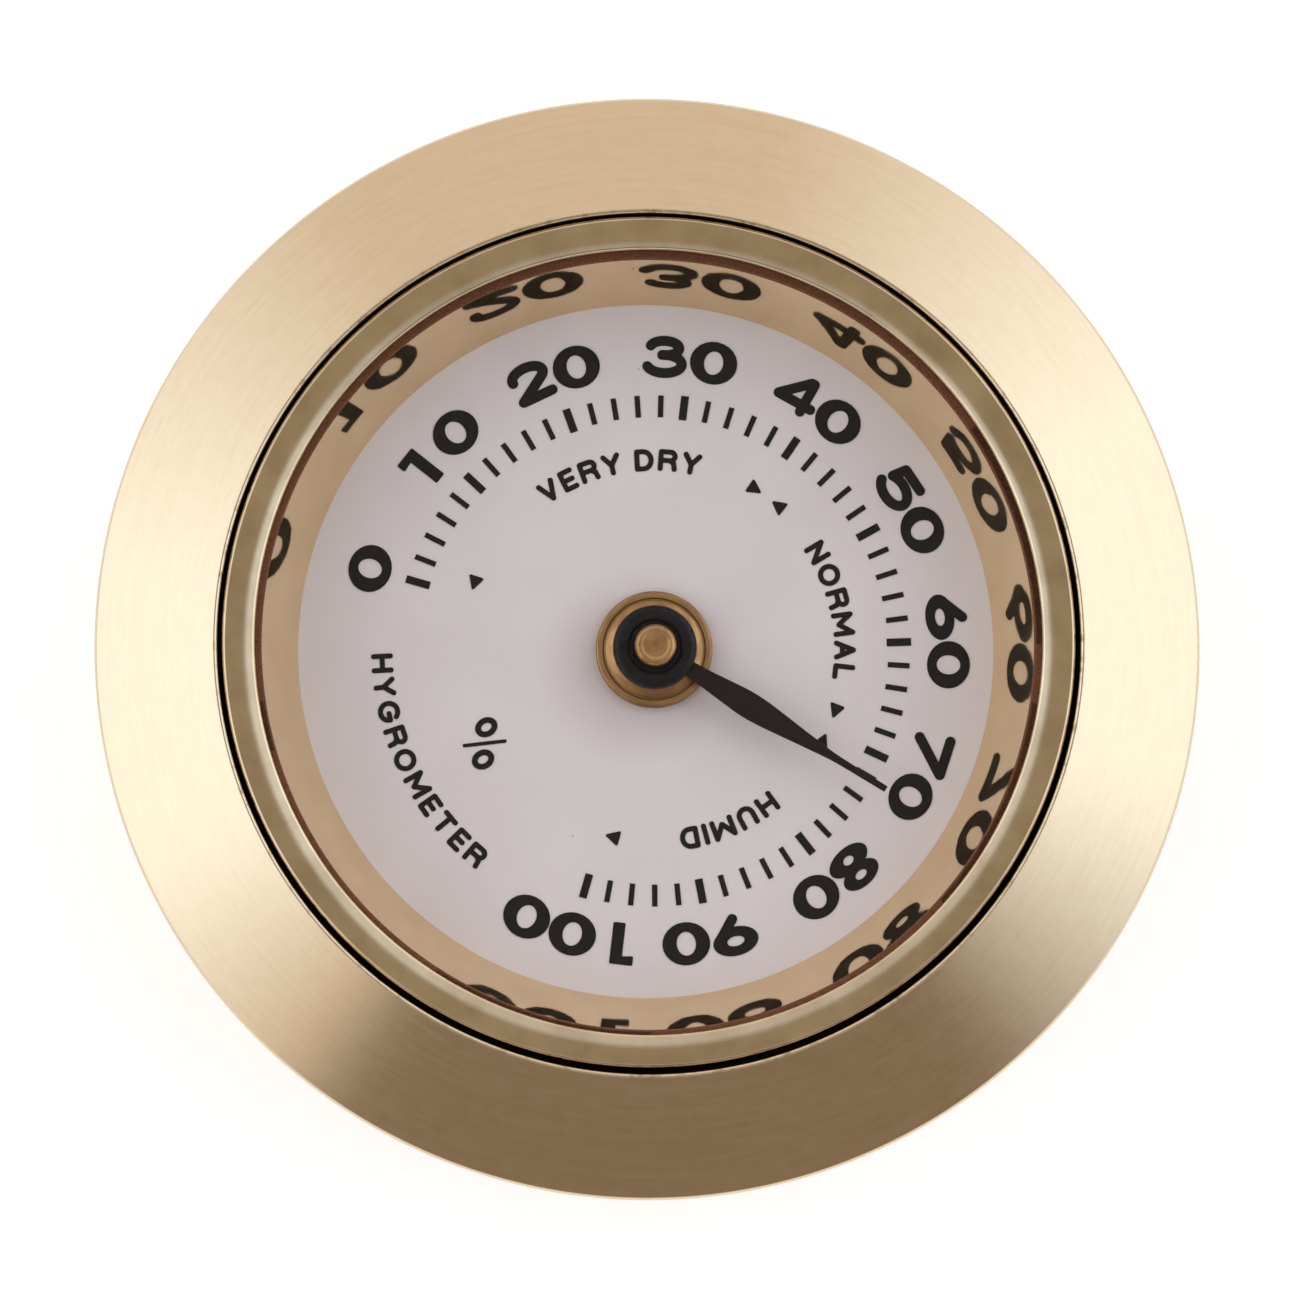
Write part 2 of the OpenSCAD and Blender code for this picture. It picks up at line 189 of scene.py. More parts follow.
class Shader:
    """A node tree. Inputs are given by name or number, as a value or as another node's socket."""

    def __init__(self, owner, coordinates):
        owner.use_nodes = True
        self.tree = owner.node_tree
        self.tree.nodes.clear()
        self.place = self.node("ShaderNodeTexCoord").outputs[coordinates]

    def node(self, kind, inputs=None, **settings):
        made = self.tree.nodes.new(kind)
        for key, value in settings.items():
            setattr(made, key, value)
        for key, value in (inputs or {}).items():
            if isinstance(value, bpy.types.NodeSocket):
                self.tree.links.new(value, made.inputs[key])
            else:
                made.inputs[key].default_value = value
        return made

    def math(self, operation, a, b=0.0):
        return self.node("ShaderNodeMath", {0: a, 1: b}, operation=operation).outputs[0]

    def vector(self, operation, a, b=(0, 0, 0)):
        return self.node("ShaderNodeVectorMath", {0: a, 1: b}, operation=operation)

    def noise(self, size, place=None, detail=3.0, rough=0.5):
        """Noise from 0 to 1 whose largest features are about size metres across."""
        inputs = {"Vector": place or self.place, "Scale": 1 / size, "Detail": detail, "Roughness": rough}
        return self.node("ShaderNodeTexNoise", inputs).outputs["Fac"]

    def ramp(self, factor, *stops):
        """Colour by factor, through stops (position, linear colour)."""
        made = self.node("ShaderNodeValToRGB", {"Fac": factor})
        elements = made.color_ramp.elements
        while len(elements) < len(stops):
            elements.new(0.5)
        for element, (position, colour) in zip(elements, stops):
            element.position = position
            element.color = (*colour, 1)
        return made.outputs["Color"]

    def fit(self, value, low, high, to_low=0.0, to_high=1.0):
        """A value between low and high, carried over to another range and clamped to it."""
        inputs = {"Value": value, "From Min": low, "From Max": high, "To Min": to_low, "To Max": to_high}
        return self.node("ShaderNodeMapRange", inputs).outputs["Result"]

    def blend(self, factor, a, b):
        """Colour a where factor is 0, and colour b where it is 1."""
        return self.node("ShaderNodeMix", {0: factor, 6: a, 7: b}, data_type="RGBA").outputs[2]


class Finish(Shader):
    """The node tree of one material."""

    def __init__(self, name):
        self.material = bpy.data.materials.new(name)
        super().__init__(self.material, "Object")

    def spun(self, centre, streak=0.35 * MM):
        """Radius about an axis, and coordinates in which noise becomes long circular tool marks."""
        moved = self.vector("SUBTRACT", self.place, (*centre, 0)).outputs[0]
        flat = self.vector("MULTIPLY", moved, (1, 1, 0)).outputs[0]
        radius = self.vector("LENGTH", flat).outputs["Value"]
        height = self.node("ShaderNodeSeparateXYZ", {0: moved}).outputs["Z"]
        around = self.node("ShaderNodeVectorMath", {0: flat}, operation="NORMALIZE").outputs[0]
        around = self.vector("MULTIPLY", around, (streak, streak, 0)).outputs[0]
        outward = self.node("ShaderNodeCombineXYZ", {"Z": self.math("ADD", radius, height)}).outputs[0]
        return radius, self.vector("ADD", around, outward).outputs[0]

    def bump(self, height, depth):
        """Normals of a relief that is depth metres high where height is 1."""
        return self.node("ShaderNodeBump", {"Height": height, "Distance": depth}).outputs[0]

    def surface(self, **inputs):
        """Ends the tree in a Principled shader. Underscores in names stand for spaces."""
        named = {key.replace("_", " "): value for key, value in inputs.items()}
        shader = self.node("ShaderNodeBsdfPrincipled", named)
        self.node("ShaderNodeOutputMaterial", {"Surface": shader.outputs[0]})
        return self.material



def brass_satin():
    """Spun and lacquered flange: fine circular lay, faint mottling, and patches of darker brown along the
    bore's edge.
    """
    finish = Finish("brass_satin")
    radius, lay = finish.spun(RING, streak=0.5 * MM)
    marks = finish.noise(0.09 * MM, lay, detail=4.0, rough=0.6)
    mottle = finish.noise(0.7 * MM, detail=5.0, rough=0.65)
    tone = finish.math("ADD", finish.math("MULTIPLY", marks, 0.55), finish.math("MULTIPLY", mottle, 0.45))
    colour = finish.ramp(
        tone,
        (0.25, (0.58, 0.48, 0.33)),
        (0.5, (0.61, 0.515, 0.36)),
        (0.75, (0.64, 0.545, 0.39)))
    height = finish.node("ShaderNodeSeparateXYZ", {0: finish.place}).outputs["Z"]
    # Darker brown in patches on the flange's top, within about 0.2 mm of the bore's edge.
    inner_edge = finish.fit(radius, BORE_R + 0.02 * MM, BORE_R + 0.22 * MM, 1, 0)
    inner_edge = finish.math("MULTIPLY", inner_edge, finish.fit(height, 0, 1 * MM))
    bore_edge_darkening = finish.math("MULTIPLY", inner_edge, finish.fit(finish.noise(0.5 * MM), 0.52, 0.7))
    colour = finish.blend(bore_edge_darkening, colour, (0.30, 0.20, 0.10, 1))
    return finish.surface(
        Base_Color=colour,
        Metallic=1.0,
        Roughness=finish.fit(tone, 0.2, 0.8, 0.16, 0.22),
        Anisotropic=0.5,
        Anisotropic_Rotation=0.25,
        Tangent=finish.node("ShaderNodeTangent", direction_type="RADIAL", axis="Z").outputs[0],
        Normal=finish.bump(marks, 0.0003 * MM))


def brass_case():
    """Drawn cup with its bright rolled lip, faintly mottled."""
    finish = Finish("brass_case")
    _, lay = finish.spun(CARTRIDGE, streak=0.8 * MM)
    marks = finish.noise(0.15 * MM, lay, detail=3.0)
    mottle = finish.noise(1.6 * MM, detail=4.0)
    colour = finish.ramp(
        mottle,
        (0.3, (0.52, 0.41, 0.27)),
        (0.55, (0.60, 0.49, 0.33)),
        (0.8, (0.66, 0.55, 0.39)))
    return finish.surface(
        Base_Color=colour,
        Metallic=1.0,
        Roughness=finish.fit(marks, 0.3, 0.7, 0.09, 0.14),
        Normal=finish.bump(marks, 0.0008 * MM))


def brass_mirror():
    """Polished cone that mirrors the print, slightly wavy."""
    finish = Finish("brass_mirror")
    _, lay = finish.spun(CARTRIDGE, streak=2.0 * MM)
    waves = finish.noise(0.7 * MM, lay, detail=2.0)
    stain = finish.noise(1.8 * MM, detail=4.0)
    colour = finish.ramp(
        stain,
        (0.3, (0.80, 0.605, 0.365)),
        (0.6, (0.85, 0.655, 0.405)),
        (0.8, (0.88, 0.695, 0.44)))
    return finish.surface(
        Base_Color=colour,
        Metallic=1.0,
        Roughness=finish.fit(stain, 0.3, 0.7, 0.03, 0.06),
        Normal=finish.bump(waves, 0.002 * MM))


def brass_turned():
    """Turned brass of the bearings, browned by handling."""
    finish = Finish("brass_turned")
    _, lay = finish.spun(ARBOR, streak=0.3 * MM)
    marks = finish.noise(0.06 * MM, lay, detail=3.0)
    tarnish = finish.noise(0.12 * MM, lay, detail=4.0)
    colour = finish.ramp(
        tarnish,
        (0.3, (0.26, 0.135, 0.06)),
        (0.55, (0.36, 0.205, 0.09)),
        (0.8, (0.45, 0.27, 0.12)))
    return finish.surface(
        Base_Color=colour,
        Metallic=1.0,
        Roughness=finish.fit(tarnish, 0.3, 0.7, 0.42, 0.32),
        Normal=finish.bump(marks, 0.001 * MM))


def brass_cap():
    """Faced button with concentric tool marks."""
    finish = Finish("brass_cap")
    _, lay = finish.spun(ARBOR, streak=0.2 * MM)
    marks = finish.noise(0.05 * MM, lay, detail=3.0)
    tarnish = finish.noise(0.5 * MM, detail=4.0)
    colour = finish.ramp(tarnish, (0.35, (0.31, 0.165, 0.07)), (0.65, (0.47, 0.27, 0.12)))
    return finish.surface(
        Base_Color=colour,
        Metallic=1.0,
        Roughness=finish.fit(marks, 0.3, 0.7, 0.3, 0.4),
        Normal=finish.bump(marks, 0.001 * MM))


def glass_clear():
    """Thin clear pane: both faces mirror more the flatter they are seen, and let the rest through."""
    finish = Finish("glass_clear")
    grease = finish.noise(5 * MM, detail=3.0)
    reflection = finish.node("ShaderNodeBsdfGlossy", {
        "Color": (0.95, 0.98, 1.0, 1),
        "Roughness": finish.fit(grease, 0.3, 0.7, 0.01, 0.04)})
    through = finish.node("ShaderNodeBsdfTransparent", {"Color": (0.985, 0.995, 0.99, 1)})
    square_on = 0.006
    edge_on = 0.9
    slant = finish.node("ShaderNodeLayerWeight", {"Blend": 0.5}).outputs["Facing"]
    share = finish.fit(finish.math("POWER", slant, 5), 0, 1, square_on, edge_on)
    pane = finish.node("ShaderNodeMixShader", {0: share, 1: through.outputs[0], 2: reflection.outputs[0]})
    finish.node("ShaderNodeOutputMaterial", {"Surface": pane.outputs[0]})
    return finish.material


def soft_black(name, colour, roughness, grain):
    """Dark rubber or plastic with a fine grain."""
    finish = Finish(name)
    speckle = finish.noise(grain, detail=4.0, rough=0.6)
    darker = tuple(0.6 * c for c in colour)
    lighter = tuple(1.5 * c for c in colour)
    return finish.surface(
        Base_Color=finish.ramp(speckle, (0.3, darker), (0.7, lighter)),
        Specular_IOR_Level=0.2,
        Roughness=finish.fit(speckle, 0.3, 0.7, roughness, roughness + 0.15),
        Normal=finish.bump(speckle, 0.0015 * MM))


def dial_paint():
    """Pale enamel with a lilac tint, fine orange peel, a painted brown shadow of the collar and hub down and
    to the left of it, and a few dust specks.
    """
    finish = Finish("dial_paint")
    cloud = finish.noise(4 * MM, detail=4.0)
    grain = finish.noise(0.12 * MM, detail=3.0)
    colour = finish.ramp(cloud, (0.35, (0.705, 0.635, 0.66)), (0.65, (0.735, 0.665, 0.69)))
    # Painted shadow: a soft brown patch round the collar, centred down and to the left of the arbor,
    # standing for the shade of the hub and collar on the dial.
    painted_shadow_offset = 0.7 * MM
    from_shadow_centre, _ = finish.spun((ARBOR[0] - painted_shadow_offset, ARBOR[1] - painted_shadow_offset))
    painted_shadow_mask = finish.fit(from_shadow_centre, 2.0 * MM, 4.2 * MM, 0.3, 0)
    colour = finish.blend(painted_shadow_mask, colour, (0.42, 0.31, 0.30, 1))
    speck_spacing = 2.6 * MM
    cells = finish.node("ShaderNodeTexVoronoi", {"Vector": finish.place, "Scale": 1 / speck_spacing})
    drawn = finish.node("ShaderNodeSeparateColor", {0: cells.outputs["Color"]}).outputs[0]
    dusty = finish.math("GREATER_THAN", drawn, 0.8)
    speck = finish.math("MULTIPLY", dusty, finish.fit(cells.outputs["Distance"], 0.018, 0.03, 1, 0))
    colour = finish.blend(finish.math("MULTIPLY", speck, 0.7), colour, (0.13, 0.10, 0.10, 1))
    return finish.surface(
        Base_Color=colour,
        Roughness=finish.fit(grain, 0.3, 0.7, 0.42, 0.55),
        Normal=finish.bump(grain, 0.0015 * MM))


def ink_black():
    """Screen-printed ink: uneven cover with a rough skin."""
    finish = Finish("ink_black")
    cover = finish.noise(0.09 * MM, detail=4.0, rough=0.65)
    colour = finish.ramp(
        cover,
        (0.3, (0.005, 0.003, 0.004)),
        (0.6, (0.009, 0.005, 0.006)),
        (0.8, (0.025, 0.017, 0.020)))
    return finish.surface(
        Base_Color=colour,
        Specular_IOR_Level=0.2,
        Roughness=finish.fit(cover, 0.3, 0.7, 0.5, 0.7),
        Normal=finish.bump(cover, 0.004 * MM))


def pointer_paint():
    """Thin black enamel with a brown cast."""
    finish = Finish("pointer_paint")
    brush = finish.noise(0.15 * MM, detail=4.0)
    colour = finish.ramp(brush, (0.3, (0.010, 0.005, 0.007)), (0.7, (0.018, 0.010, 0.013)))
    return finish.surface(
        Base_Color=colour,
        Specular_IOR_Level=0.15,
        Roughness=finish.fit(brush, 0.3, 0.7, 0.32, 0.45),
        Normal=finish.bump(brush, 0.002 * MM))


def steel(name, grain):
    """Ground or rolled steel, its marks round the arbor."""
    finish = Finish(name)
    _, lay = finish.spun(ARBOR, streak=0.4 * MM)
    marks = finish.noise(grain, lay, detail=4.0)
    return finish.surface(
        Base_Color=finish.ramp(marks, (0.3, (0.42, 0.42, 0.44)), (0.7, (0.66, 0.66, 0.68))),
        Metallic=1.0,
        Roughness=finish.fit(marks, 0.3, 0.7, 0.25, 0.4),
        Normal=finish.bump(marks, 0.0015 * MM))


def coil_bronze():
    """Rolled strip, its grain along the coil."""
    finish = Finish("coil_bronze")
    stretched = finish.vector("MULTIPLY", finish.place, (1, 1, 12)).outputs[0]
    marks = finish.noise(0.3 * MM, stretched, detail=4.0)
    return finish.surface(
        Base_Color=finish.ramp(marks, (0.3, (0.42, 0.26, 0.13)), (0.7, (0.70, 0.50, 0.28))),
        Metallic=1.0,
        Roughness=finish.fit(marks, 0.3, 0.7, 0.25, 0.4),
        Normal=finish.bump(marks, 0.002 * MM))


def film_paper():
    """Hygroscopic film: fibrous and matt."""
    finish = Finish("film_paper")
    fibres = finish.noise(0.2 * MM, detail=6.0, rough=0.7)
    return finish.surface(
        Base_Color=finish.ramp(fibres, (0.3, (0.58, 0.50, 0.34)), (0.7, (0.80, 0.74, 0.58))),
        Roughness=0.85,
        Normal=finish.bump(fibres, 0.01 * MM))


MATERIALS = {
    "brass_satin": brass_satin(),
    "brass_case": brass_case(),
    "brass_mirror": brass_mirror(),
    "brass_turned": brass_turned(),
    "brass_cap": brass_cap(),
    "glass_clear": glass_clear(),
    "rubber_black": soft_black("rubber_black", (0.012, 0.008, 0.007), 0.6, 0.1 * MM),
    "rubber_brown": soft_black("rubber_brown", (0.18, 0.065, 0.03), 0.55, 0.1 * MM),
    "dial_paint": dial_paint(),
    "ink_black": ink_black(),
    "pointer_paint": pointer_paint(),
    "hub_black": soft_black("hub_black", (0.005, 0.005, 0.007), 0.25, 0.2 * MM),
    "plastic_black": soft_black("plastic_black", (0.02, 0.02, 0.02), 0.5, 0.2 * MM),
    "steel_ground": steel("steel_ground", 0.05 * MM),
    "steel_sheet": steel("steel_sheet", 0.15 * MM),
    "coil_bronze": coil_bronze(),
    "film_paper": film_paper()}


def dress_cad_nodes():
    """Gives every CAD node the material of its slot in the record."""
    for part in frame["record"]["subparts"]:
        for holder in frame["nodes"][part["node"]].material_slots:
            holder.material = MATERIALS[part["material_slot"]]


# ---- Pieces

def make_bezel():
    """Conical flange that lies on the panel, and the barrel that enters it."""
    rim = 0.7 * MM
    shape = outline([
        (LIP_R, BARREL_END, 0.05 * MM),
        (BARREL_R, BARREL_END, 0.3 * MM),
        (BARREL_R, 0, 0.05 * MM),
        (FLANGE_R, 0, 0.12 * MM),
        (FLANGE_R, rim, 0.25 * MM),
        (BORE_R, BEZEL_TOP, 0.12 * MM),
        (BORE_R, CASE_BACK, 0.02 * MM),
        (LIP_R, CASE_BACK, 0.05 * MM)])
    piece("bezel_turned", lathe(shape, RING), "housing", "brass_satin", "bezel")


def cylinder_cutter(x, y, radius, low, high, sides):
    """Mesh of an upright cylinder, for cutting a hole."""
    mesh = bmesh.new()
    place = Matrix.Translation((x, y, (low + high) / 2))
    bmesh.ops.create_cone(
        mesh, cap_ends=True, segments=sides, radius1=radius, radius2=radius, depth=high - low, matrix=place)
    return mesh


def cut(made, meshes):
    """Cuts closed meshes out of an object, for good."""
    cutters = []
    for mesh in meshes:
        data = bpy.data.meshes.new("cutter")
        mesh.to_mesh(data)
        mesh.free()
        cutters.append(bpy.data.objects.new("cutter", data))
        bpy.context.scene.collection.objects.link(cutters[-1])
        step = made.modifiers.new("cut", "BOOLEAN")
        step.operation = "DIFFERENCE"
        step.solver = "EXACT"
        step.object = cutters[-1]
    made.modifiers.move(0, len(made.modifiers) - 1)
    evaluated = made.evaluated_get(bpy.context.evaluated_depsgraph_get())
    made.data = bpy.data.meshes.new_from_object(evaluated)
    made.modifiers.clear()
    for cutter in cutters:
        bpy.data.objects.remove(cutter)


def make_case():
    """Cup with a bead: a tight shoulder outside, and a flat crown that falls towards the glass."""
    wall = 0.4 * MM
    clearance = 0.01 * MM
    inner = CASE_R - wall - clearance
    floor_top = CASE_BACK + wall
    lip = CASE_R - 1.35 * MM
    crown_r = 3.1 * MM
    crown_at = CASE_R - 0.4 * MM
    shoulder = 0.2 * MM
    arc_steps = 10
    slope = math.degrees(math.asin((crown_at - lip) / crown_r))
    crown = arc((crown_at, BEAD_TOP - crown_r), crown_r, 90, 90 + slope, arc_steps)
    shoulder_arc = arc((CASE_R - shoulder, BEAD_TOP - shoulder), shoulder, 0, 90, arc_steps)
    shape = [
        Vector((0, CASE_BACK)),
        *round_corner(Vector((0, CASE_BACK)), Vector((CASE_R, CASE_BACK)), Vector((CASE_R, 0)), 0.3 * MM),
        *shoulder_arc,
        *crown,
        Vector((lip, LENS_TOP)),
        Vector((inner, LENS_TOP)),
        *round_corner(Vector((inner, 0)), Vector((inner, floor_top)), Vector((0, floor_top)), 0.15 * MM),
        Vector((0, floor_top))]
    mesh = lathe(shape, CARTRIDGE, closed=False)
    made = piece("case_drawn", mesh, "housing", "brass_case", "case")
    adjuster_bore = 1.65 * MM
    vents = 10
    vent_r = 1.2 * MM
    vent_ring = 10.2 * MM
    margin = 0.2 * MM
    low, high = CASE_BACK - margin, floor_top + margin
    holes = [cylinder_cutter(*ARBOR, adjuster_bore, low, high, sides=96)]
    for i in range(vents):
        turn = 2 * math.pi * i / vents
        x = CARTRIDGE[0] + vent_ring * math.cos(turn)
        y = CARTRIDGE[1] + vent_ring * math.sin(turn)
        holes.append(cylinder_cutter(x, y, vent_r, low, high, sides=48))
    cut(made, holes)


def make_lens():
    """Flat glass with its edges broken."""
    edge = 0.06 * MM
    shape = outline([
        (0, LENS_FOOT, 0),
        (STACK_R, LENS_FOOT, edge),
        (STACK_R, LENS_TOP, edge),
        (0, LENS_TOP, 0)])
    mesh = lathe(shape, CARTRIDGE, closed=False)
    piece("lens_pane", mesh, "housing", "glass_clear", "lens")


def make_gasket():
    """Moulded ring under the glass's rim, its inner edge just inside the bead."""
    inner = GASKET_R + 0.02 * MM
    shape = outline([
        (inner, GASKET_FOOT, 0.05 * MM),
        (STACK_R, GASKET_FOOT, 0.05 * MM),
        (STACK_R, GASKET_TOP, 0.05 * MM),
        (inner, GASKET_TOP, 0.08 * MM)])
    piece("gasket_moulded", lathe(shape, CARTRIDGE), "housing", "rubber_brown", "lens_gasket")


def make_reflector():
    """Solid ring whose inner cone mirrors the print."""
    shape = outline([
        (DIAL_VIEW_R, DIAL_FACE, 0.02 * MM),
        (STACK_R, DIAL_FACE, 0.1 * MM),
        (STACK_R, REFLECTOR_TOP, 0.1 * MM),
        (STACK_R - 1 * MM, REFLECTOR_TOP, 0.1 * MM)])
    mesh = lathe(shape, CARTRIDGE)
    piece("reflector_polished", mesh, "housing", "brass_mirror", "reflector_ring")


def make_bush():
    """Front bearing: a grooved collar on the dial, the shank through it and the staked rim behind."""
    hole = ARBOR_R + 0.05 * MM
    shank = 1.5 * MM
    stake = 2.1 * MM
    dial_back = DIAL_FACE - 0.5 * MM
    stake_foot = dial_back - 0.4 * MM
    rim_h = COLLAR_TOP - 0.26 * MM
    groove_r = COLLAR_R - 0.34 * MM
    shape = outline([
        (hole, BUSH_END, 0),
        (shank, BUSH_END, 0.1 * MM),
        (shank, stake_foot, 0.03 * MM),
        (stake, stake_foot, 0.1 * MM),
        (stake, dial_back, 0.02 * MM),
        (shank, dial_back, 0),
        (shank, DIAL_FACE, 0),
        (COLLAR_R, DIAL_FACE, 0.02 * MM),
        (COLLAR_R, rim_h, 0.1 * MM),
        (groove_r + 0.06 * MM, rim_h + 0.03 * MM, 0.02 * MM),
        (groove_r, rim_h - 0.07 * MM, 0),
        (groove_r - 0.06 * MM, rim_h + 0.05 * MM, 0.02 * MM),
        (HUB_R - 0.2 * MM, COLLAR_TOP, 0.05 * MM),
        (hole, COLLAR_TOP, 0)])
    piece("bush_turned", lathe(shape, ARBOR), "housing", "brass_turned", "dial_bush")


def make_hub():
    """Moulded ring on the pointer's eye, with a well round the cap."""
    bore = ARBOR_R + 0.01 * MM
    foot = 1.4 * MM
    eye = 0.99 * MM
    plate_low, plate_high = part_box("pointer")[0].z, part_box("pointer")[1].z
    well = CAP_R + 0.28 * MM
    well_depth = 0.14 * MM
    shape = outline([
        (bore, HUB_FOOT, 0),
        (foot, HUB_FOOT, 0.05 * MM),
        (foot, plate_low, 0),
        (eye, plate_low, 0),
        (eye, plate_high, 0),
        (HUB_R, plate_high, 0.02 * MM),
        (HUB_R, HUB_TOP, 0.27 * MM),
        (well, HUB_TOP, 0.12 * MM),
        (well - 0.08 * MM, HUB_TOP - well_depth, 0.05 * MM),
        (bore, HUB_TOP - well_depth, 0)])
    piece("hub_ring", lathe(shape, ARBOR), "indicator", "hub_black", "pointer_hub")


def make_cap():
    """Button on the arbor's end, its face slightly dished."""
    dish = 0.03 * MM
    dish_r = 0.5 * MM
    dish_rim = 0.62 * MM
    bore = ARBOR_R + 0.01 * MM
    bore_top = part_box("arbor")[1].z
    shape = [
        Vector((0, bore_top)),
        Vector((bore, bore_top)),
        Vector((bore, CAP_FOOT)),
        *outline([
            (bore, CAP_FOOT, 0),
            (CAP_R, CAP_FOOT, 0.02 * MM),
            (CAP_R, CAP_TOP, 0.2 * MM),
            (dish_rim, CAP_TOP, 0.06 * MM),
            (dish_r, CAP_TOP - dish, 0.06 * MM),
            (0.0, CAP_TOP - dish, 0)])[1:]]
    piece("cap_button", lathe(shape, ARBOR, closed=False), "indicator", "brass_cap", "arbor_cap")


def curve_through(points, steps):
    """Catmull-Rom curve through points, with steps pieces between two of them."""
    made = []
    for i in range(len(points) - 1):
        a, b = points[max(i - 1, 0)], points[i]
        c, d = points[i + 1], points[min(i + 2, len(points) - 1)]
        linear = (c - a) / 2
        square = a - b * 2.5 + c * 2 - d / 2
        cube = (b - c) * 1.5 + (d - a) / 2
        for k in range(steps):
            t = k / steps
            made.append(b + linear * t + square * t ** 2 + cube * t ** 3)
    return made + [points[-1]]


def make_pointer():
    """Lance with a round eye, its edges broken."""
    low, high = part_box("pointer")
    pivot = Vector((*ARBOR, 0))
    tip = max((v.co - pivot for v in frame["nodes"]["pointer"].data.vertices), key=lambda co: co.xy.length)
    length = tip.xy.length
    turn = math.atan2(tip.y, tip.x)
    half_widths = [
        # millimetres from the axis, half the lance's width there
        (1.2, 0.3),
        (2.4, 0.37),
        (3.4, 0.465),
        (4.3, 0.54),
        (5.1, 0.525),
        (6.2, 0.415),
        (7.6, 0.26),
        (8.8, 0.155)]
    tip_half = 0.13 * MM
    side = [Vector(p) * MM for p in half_widths] + [Vector((length, tip_half))]
    lance = curve_through(side, steps=6)
    ring = HUB_R
    eye = 1.0 * MM
    root = next(p for p in lance if p.length > ring)
    spread = math.atan2(root.y, root.x)
    around = 96
    angles = [spread + (2 * math.pi - 2 * spread) * i / around for i in range(around + 1)]
    rim = [Vector((ring * math.cos(a), ring * math.sin(a))) for a in angles]
    blade = [p for p in lance if p.length > ring]
    mirrored = [Vector((p.x, -p.y)) for p in blade]
    edge = rim + mirrored + list(reversed(blade))
    hole_angles = [2 * math.pi * i / around for i in range(around)]
    hole = [Vector((eye * math.cos(a), eye * math.sin(a))) for a in hole_angles]
    mesh = bmesh.new()
    spin = Matrix.Rotation(turn, 3, "Z")
    loops = []
    for points in (edge, hole):
        verts = [mesh.verts.new(spin @ Vector((p.x, p.y, 0)) + Vector((*ARBOR, low.z))) for p in points]
        loops += [mesh.edges.new((verts[i - 1], verts[i])) for i in range(len(verts))]
    plate = bmesh.ops.triangle_fill(mesh, edges=loops, use_beauty=True)
    faces = [g for g in plate["geom"] if isinstance(g, bmesh.types.BMFace)]
    raised = bmesh.ops.extrude_face_region(mesh, geom=faces)
    for v in (g for g in raised["geom"] if isinstance(g, bmesh.types.BMVert)):
        v.co.z = high.z
    bmesh.ops.dissolve_limit(mesh, angle_limit=0.01, verts=mesh.verts, edges=mesh.edges)
    made = piece("pointer_lance", mesh, "indicator", "pointer_paint", "pointer")
    broken = made.modifiers.new("broken edges", "BEVEL")
    broken.width = 0.035 * MM
    broken.segments = 3
    broken.limit_method = "ANGLE"
    made.modifiers.move(1, 0)


# ---- Studio

# Radiance in red, green and blue
SOFTBOX = (1.8, 1.85, 2.0)
CARD_ABOVE = (1.05, 0.9, 0.8)
ROOM_BELOW = (0.33, 0.24, 0.17)
WALLS = [
    # azimuth, what stands there between the horizon and the ceiling
    (0, CARD_ABOVE),
    (15, CARD_ABOVE),
    (60, SOFTBOX),
    (100, SOFTBOX),
    (135, ROOM_BELOW),
    (215, ROOM_BELOW),
    (225, CARD_ABOVE),
    (250, SOFTBOX),
    (285, SOFTBOX),
    (330, CARD_ABOVE),
    (360, CARD_ABOVE)]
CEILING = [
    # elevation, radiance that is the same all round
    (0, (1.30, 1.25, 1.20)),
    (16, (1.10, 1.05, 1.00)),
    (54, (0.70, 0.74, 0.82)),
    (67, (0.70, 0.74, 0.82)),
    (74, (0.46, 0.39, 0.30)),
    (90, (0.46, 0.39, 0.30))]
WALL_SHARE = [
    # elevation, how much of the light there is the walls' and not the ceiling's
    (16, 0),
    (22, 1),
    (50, 1),
    (56, 0.35),
    (66, 0.35),
    (73, 0)]


def height_at(elevation):
    """Height on the unit sphere at an elevation in degrees."""
    return math.sin(math.radians(elevation))


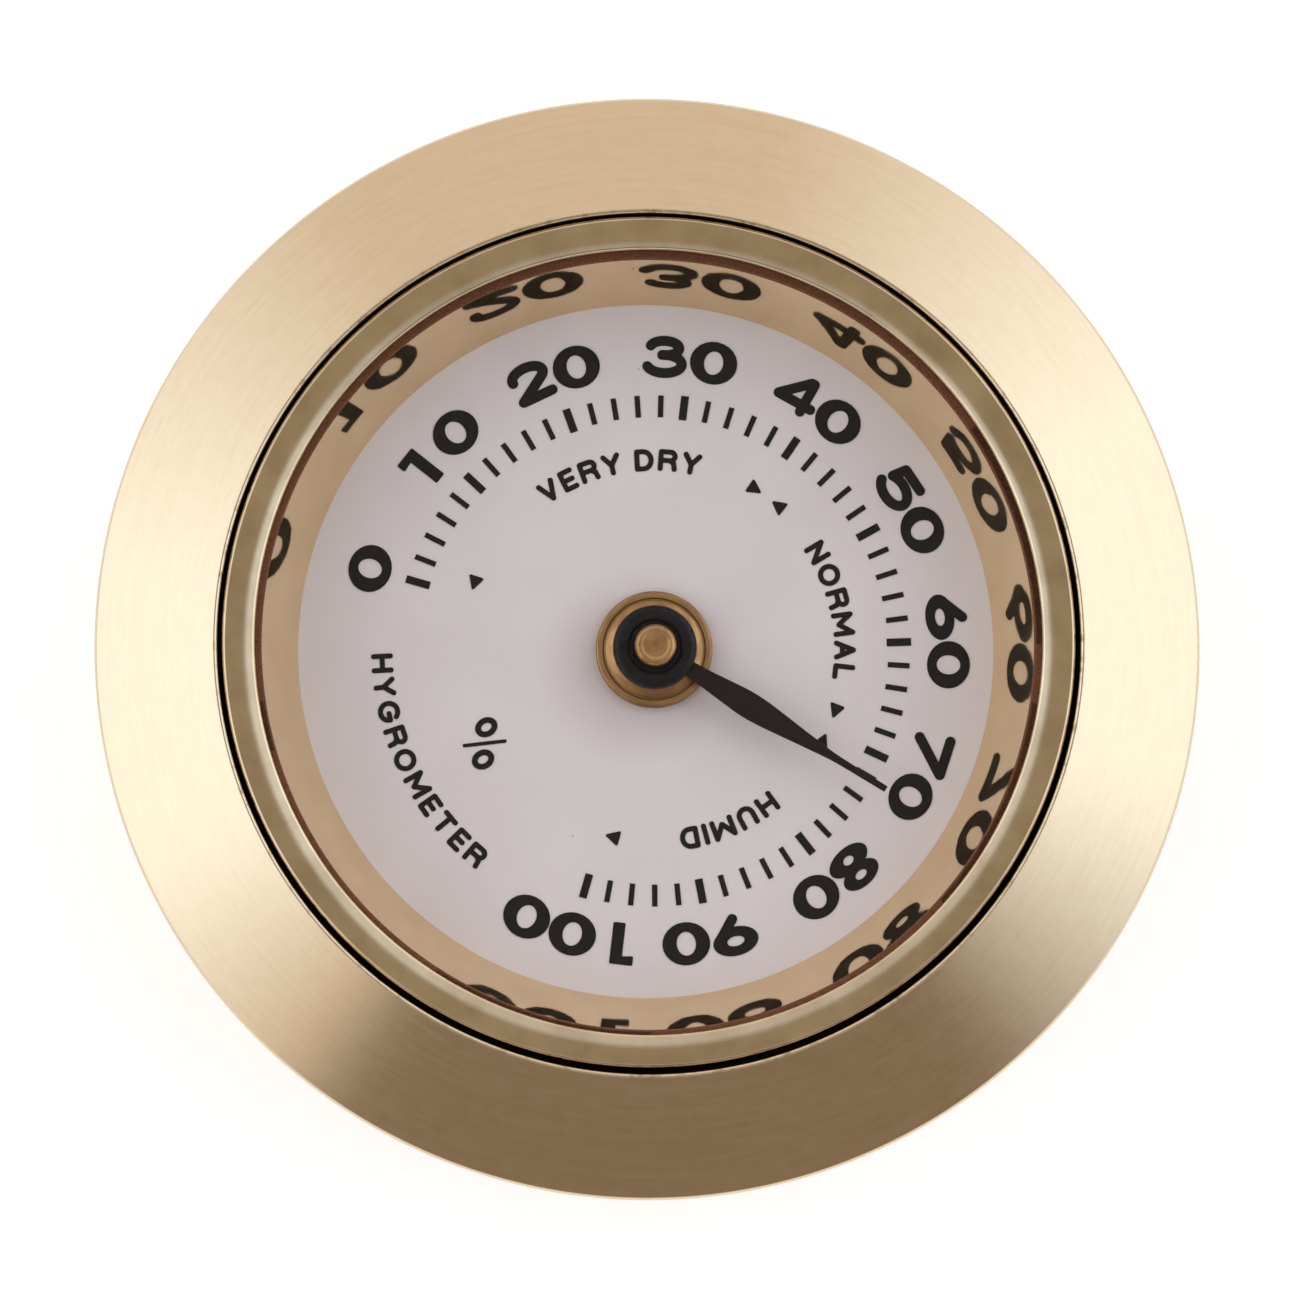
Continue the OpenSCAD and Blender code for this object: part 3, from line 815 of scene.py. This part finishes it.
def make_world():
    """A round tent: a softbox in the wall to either side, a darker wall below, a dim middle overhead."""
    world = bpy.data.worlds.new("tent")
    tent = Shader(world, "Generated")
    x, y, z = tent.node("ShaderNodeSeparateXYZ", {0: tent.place}).outputs
    around = tent.math("FRACT", tent.math("DIVIDE", tent.math("ARCTAN2", x, y), 2 * math.pi))
    peak = 2.5  # a ramp's colours go up to 1, so they hold shares of this radiance
    walls = tent.ramp(around, *[(azimuth / 360, [c / peak for c in colour]) for azimuth, colour in WALLS])
    ceiling = tent.ramp(z, *[(height_at(e), [c / peak for c in colour]) for e, colour in CEILING])
    share = tent.ramp(z, *[(height_at(e), (part, part, part)) for e, part in WALL_SHARE])
    colour = tent.blend(tent.node("ShaderNodeSeparateColor", {0: share}).outputs[0], ceiling, walls)
    light = tent.node("ShaderNodeBackground", {"Color": colour, "Strength": peak})
    tent.node("ShaderNodeOutputWorld", {"Surface": light.outputs[0]})
    bpy.context.scene.world = world


def make_floor():
    """Large pale card, slightly self-lit, just under the barrel's end."""
    finish = Finish("floor_card")
    grain = finish.noise(3 * MM, detail=3.0)
    card = finish.surface(
        Base_Color=finish.ramp(grain, (0.3, (0.95, 0.94, 0.94)), (0.7, (0.97, 0.96, 0.96))),
        Emission_Color=(1, 1, 1, 1),
        Emission_Strength=0.35,
        Roughness=0.9)
    half = 4.0
    level = cad_box[0].z - 0.02 * MM
    mesh = bmesh.new()
    corners = [mesh.verts.new((x * half, y * half, level)) for x, y in ((-1, -1), (1, -1), (1, 1), (-1, 1))]
    mesh.faces.new(corners)
    data = bpy.data.meshes.new("floor")
    mesh.to_mesh(data)
    mesh.free()
    data.materials.append(card)
    made = bpy.data.objects.new("floor", data)
    bpy.context.scene.collection.objects.link(made)


def make_camera():
    """Nearly square on: a little from below and from the left of the dial's axis."""
    distance = 280 * MM
    view_width = 53.1 * MM
    sensor = 36.0
    aim = Vector((0.165, -0.235, 0.35)) * MM
    from_left = math.radians(1.5)
    from_below = math.radians(4.7)
    back = Vector((-math.sin(from_left), -math.sin(from_below), 1)).normalized()
    right = Vector((0, 1, 0)).cross(back).normalized()
    up = back.cross(right)
    data = bpy.data.cameras.new("camera")
    data.sensor_width = sensor
    data.lens = sensor * distance / view_width
    data.clip_start = 0.01
    data.clip_end = 10
    made = bpy.data.objects.new("camera", data)
    turn = Matrix((right, up, back)).transposed()
    made.matrix_world = Matrix.Translation(aim + back * distance) @ turn.to_4x4()
    bpy.context.scene.collection.objects.link(made)
    bpy.context.scene.camera = made


dress_cad_nodes()
make_bezel()
make_case()
make_lens()
make_gasket()
make_reflector()
make_bush()
make_hub()
make_cap()
make_pointer()
make_floor()
make_world()
make_camera()
bpy.context.scene.view_settings.view_transform = "Standard"
